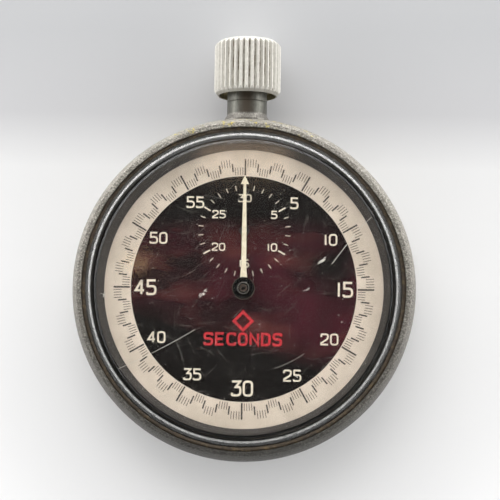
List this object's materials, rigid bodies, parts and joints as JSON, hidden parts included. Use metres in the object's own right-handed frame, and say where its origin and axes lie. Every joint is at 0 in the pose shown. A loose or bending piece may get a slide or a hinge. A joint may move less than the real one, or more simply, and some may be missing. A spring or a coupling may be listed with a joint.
{
  "type": "mechanical stopwatch",
  "caption": "Pocket stopwatch with a fluted crown, a sweep seconds hand and a minute counter over a wound spring movement.",
  "frame": {"origin": "centre of the case back's flat outer face", "axes": "+Z out through the dial, +Y from the dial's centre towards the crown, +X towards the fifteen-second mark"},
  "size_m": [0.057, 0.0709, 0.0148],
  "materials": {
    "case_paint": "grey fine-grained paint over blasted metal, worn and dirty",
    "back_steel": "grey fine-grained paint",
    "crystal": "clear acrylic with fine scratches",
    "gasket": "old brown sealing compound",
    "flange": "dark satin",
    "dial": "black lacquer with a burgundy tint, cream print",
    "neck_metal": "dark gunmetal satin",
    "rubber": "matte",
    "spring_steel": "blued-grey spring steel",
    "brass": "gilt brass",
    "nickel": "nickel-plated brass, fine grained",
    "screw_steel": "polished steel",
    "ruby": "synthetic ruby",
    "steel": "polished steel",
    "crown_metal": "matte anodised aluminium with dirt in the flutes",
    "hand_paint": "cream paint, black hub"
  },
  "bodies": {
    "case": {"case_body": "case_paint", "case_back": "back_steel", "crystal": "crystal", "crystal_gasket": "gasket", "flange_ring": "flange", "dial": "dial", "pendant_tube": "neck_metal", "pendant_gasket": "rubber", "crown_spring": "spring_steel", "movement_ring": "brass", "main_plate": "nickel", "barrel_bridge": "nickel", "train_bridge": "nickel", "balance_cock": "nickel", "pallet_bridge": "nickel", "operating_bridge": "nickel", "bridge_screws": "screw_steel", "jewels": "ruby", "casing_clamps": "screw_steel", "click_spring": "spring_steel", "hairspring": "spring_steel", "column_jumper": "spring_steel", "lever_pivots": "screw_steel"},
    "winding_pinion": {"winding_pinion": "steel"},
    "crown": {"crown": "crown_metal", "winding_stem": "steel"},
    "crown_wheel": {"crown_wheel": "steel"},
    "ratchet": {"ratchet_wheel": "steel", "barrel_arbor": "steel"},
    "barrel": {"barrel_drum": "brass", "barrel_lid": "brass", "mainspring": "spring_steel"},
    "click": {"click": "steel"},
    "great_wheel": {"great_wheel": "brass", "great_arbor": "steel"},
    "third_wheel": {"third_wheel": "brass", "third_arbor": "steel"},
    "seconds": {"seconds_arbor": "brass", "seconds_wheel": "brass", "seconds_heart": "steel", "seconds_hand": "hand_paint"},
    "intermediate": {"intermediate_arbor": "steel", "intermediate_wheel": "brass"},
    "minute": {"minute_arbor": "steel", "minute_wheel": "brass", "minute_heart": "steel", "minute_hand": "hand_paint"},
    "escape": {"escape_wheel": "brass", "escape_arbor": "steel"},
    "pallet": {"pallet_fork": "steel", "pallet_stones": "ruby"},
    "balance": {"balance_wheel": "brass", "balance_staff": "steel", "impulse_roller": "steel"},
    "regulator": {"regulator": "steel"},
    "reset_hammer": {"reset_hammer": "steel"},
    "column_wheel": {"column_wheel": "steel"},
    "operating_lever": {"operating_lever": "steel"},
    "brake_lever": {"brake_lever": "steel"}
  },
  "joints": [
    {"name": "crown_turn", "type": "hinge", "parent": "case", "child": "winding_pinion", "pos_m": [0, 0.0161, 0.006], "axis": [0, 1, 0], "continuous": true},
    {"name": "crown_push", "type": "slide", "parent": "winding_pinion", "child": "crown", "axis": [0, -1, 0], "range_m": [0, 0.0015], "stiffness_N_per_m": 2500, "deforming": ["crown_spring"]},
    {"name": "crown_wheel_turn", "type": "hinge", "parent": "case", "child": "crown_wheel", "pos_m": [0, 0.01249, 0], "axis": [0, 0, 1], "continuous": true},
    {"name": "ratchet_turn", "type": "hinge", "parent": "case", "child": "ratchet", "pos_m": [0.00934, 0.00802, 0], "axis": [0, 0, 1], "continuous": true},
    {"name": "seconds_turn", "type": "hinge", "parent": "case", "child": "seconds", "pos_m": [0, 0, 0], "axis": [0, 0, -1], "continuous": true},
    {"name": "third_turn", "type": "hinge", "parent": "case", "child": "third_wheel", "pos_m": [0.00228, -0.0055, 0], "axis": [0, 0, -1], "continuous": true},
    {"name": "great_turn", "type": "hinge", "parent": "case", "child": "great_wheel", "pos_m": [0.00848, -0.00184, 0], "axis": [0, 0, -1], "continuous": true},
    {"name": "barrel_turn", "type": "hinge", "parent": "case", "child": "barrel", "pos_m": [0.00934, 0.00802, 0], "axis": [0, 0, -1], "continuous": true},
    {"name": "escape_turn", "type": "hinge", "parent": "case", "child": "escape", "pos_m": [-0.00467, -0.00269, 0], "axis": [0, 0, -1], "continuous": true},
    {"name": "intermediate_turn", "type": "hinge", "parent": "case", "child": "intermediate", "pos_m": [-0.00149, 0.00456, 0], "axis": [0, 0, -1], "continuous": true},
    {"name": "minute_turn", "type": "hinge", "parent": "case", "child": "minute", "pos_m": [0, 0.0096, 0], "axis": [0, 0, -1], "continuous": true},
    {"name": "pallet_rock", "type": "hinge", "parent": "case", "child": "pallet", "pos_m": [-0.00697, -0.00462, 0], "axis": [0, 0, 1], "range_deg": [-5, 5]},
    {"name": "balance_swing", "type": "hinge", "parent": "case", "child": "balance", "pos_m": [-0.00995, -0.00713, 0], "axis": [0, 0, 1], "range_deg": [-220, 220], "stiffness_Nm_per_rad": 0.000001, "deforming": ["hairspring"]},
    {"name": "regulator_turn", "type": "hinge", "parent": "case", "child": "regulator", "pos_m": [-0.00995, -0.00713, 0], "axis": [0, 0, 1], "range_deg": [-12, 12]},
    {"name": "click_swing", "type": "hinge", "parent": "case", "child": "click", "pos_m": [0.01639, 0.01295, 0], "axis": [0, 0, -1], "range_deg": [0, 6], "stiffness_Nm_per_rad": 0.0002},
    {"name": "hammer_drop", "type": "hinge", "parent": "case", "child": "reset_hammer", "pos_m": [-0.008, 0.0048, 0], "axis": [0, 0, 1], "range_deg": [0, 3.4], "stiffness_Nm_per_rad": 0.0002},
    {"name": "column_wheel_turn", "type": "hinge", "parent": "case", "child": "column_wheel", "pos_m": [-0.0125, 0.0065, 0], "axis": [0, 0, 1], "continuous": true},
    {"name": "lever_swing", "type": "hinge", "parent": "case", "child": "operating_lever", "pos_m": [-0.0082, 0.017, 0], "axis": [0, 0, 1], "range_deg": [-10.6, 0]},
    {"name": "brake_swing", "type": "hinge", "parent": "case", "child": "brake_lever", "pos_m": [-0.0175, 0.0048, 0], "axis": [0, 0, -1], "range_deg": [0, 4], "stiffness_Nm_per_rad": 0.0002}
  ],
  "couplings": [
    {"joint": "crown_wheel_turn", "follows": "crown_turn", "ratio": 0.4},
    {"joint": "ratchet_turn", "follows": "crown_turn", "ratio": -0.27273},
    {"joint": "third_turn", "follows": "seconds_turn", "ratio": -0.13333},
    {"joint": "great_turn", "follows": "seconds_turn", "ratio": 0.016667},
    {"joint": "barrel_turn", "follows": "seconds_turn", "ratio": -0.0020833},
    {"joint": "escape_turn", "follows": "seconds_turn", "ratio": -10},
    {"joint": "intermediate_turn", "follows": "seconds_turn", "ratio": -0.2},
    {"joint": "minute_turn", "follows": "seconds_turn", "ratio": 0.033333},
    {"joint": "lever_swing", "follows": "crown_push", "rad_per_m": -122.2}
  ]
}
